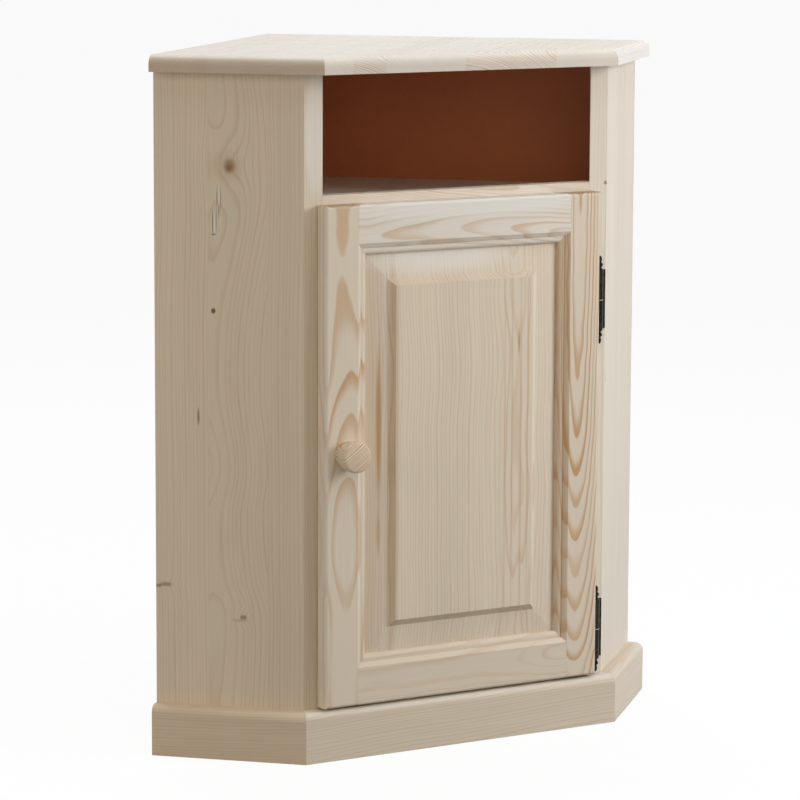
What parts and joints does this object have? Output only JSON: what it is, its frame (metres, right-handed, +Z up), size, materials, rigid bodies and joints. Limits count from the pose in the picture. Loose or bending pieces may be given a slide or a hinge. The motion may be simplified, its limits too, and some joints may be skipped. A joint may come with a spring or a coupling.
{
  "type": "corner cupboard",
  "caption": "Low corner cupboard in bare pine with an open niche over a raised-panel door, on a plinth, under a round-edged top",
  "frame": {"origin": "on the floor, under the middle of the part's bounding box", "axes": "+Z up; the door faces -Y; the room corner that it stands in points to +Y"},
  "size_m": [0.724, 0.528, 0.85],
  "materials": {
    "pine": "bare sanded pine",
    "hardboard": "smooth brown hardboard",
    "zinc_steel": "zinc plated",
    "dark_metal": "dark burnished metal",
    "catch_plastic": "matt moulded",
    "magnet": "dull grey"
  },
  "bodies": {
    "carcass": {"top_board": "pine", "left_side_panel": "pine", "right_side_panel": "pine", "niche_rail": "pine", "niche_shelf": "pine", "inner_shelf": "pine", "bottom_board": "pine", "plinth_front": "pine", "plinth_left": "pine", "plinth_right": "pine", "plinth_corner_blocks": "pine", "back_corner_post": "pine", "left_top_cleat": "pine", "right_top_cleat": "pine", "left_niche_cleat": "pine", "right_niche_cleat": "pine", "left_inner_cleat": "pine", "right_inner_cleat": "pine", "left_bottom_cleat": "pine", "right_bottom_cleat": "pine", "rail_dowels": "pine", "left_back_panel": "hardboard", "right_back_panel": "hardboard", "cleat_screws": "zinc_steel", "shelf_screws": "zinc_steel", "top_screws": "zinc_steel", "plinth_screws": "zinc_steel", "back_panel_nails": "zinc_steel", "upper_hinge_pin": "zinc_steel", "lower_hinge_pin": "zinc_steel", "hinge_washers": "zinc_steel", "upper_hinge_frame_leaf": "dark_metal", "lower_hinge_frame_leaf": "dark_metal", "hinge_frame_screws": "dark_metal", "catch_housing": "catch_plastic", "catch_magnet": "magnet", "catch_screws": "zinc_steel"},
    "door": {"door_left_stile": "pine", "door_right_stile": "pine", "door_top_rail": "pine", "door_bottom_rail": "pine", "door_panel": "pine", "door_knob": "pine", "knob_screw": "zinc_steel", "catch_strike_plate": "zinc_steel", "strike_screw": "zinc_steel", "upper_hinge_door_leaf": "dark_metal", "lower_hinge_door_leaf": "dark_metal", "hinge_door_screws": "dark_metal"}
  },
  "joints": [
    {"name": "door_swing", "type": "hinge", "parent": "carcass", "child": "door", "pos_m": [0.2018, -0.22232, 0.3695], "axis": [0, 0, 1], "range_deg": [0, 135]}
  ]
}
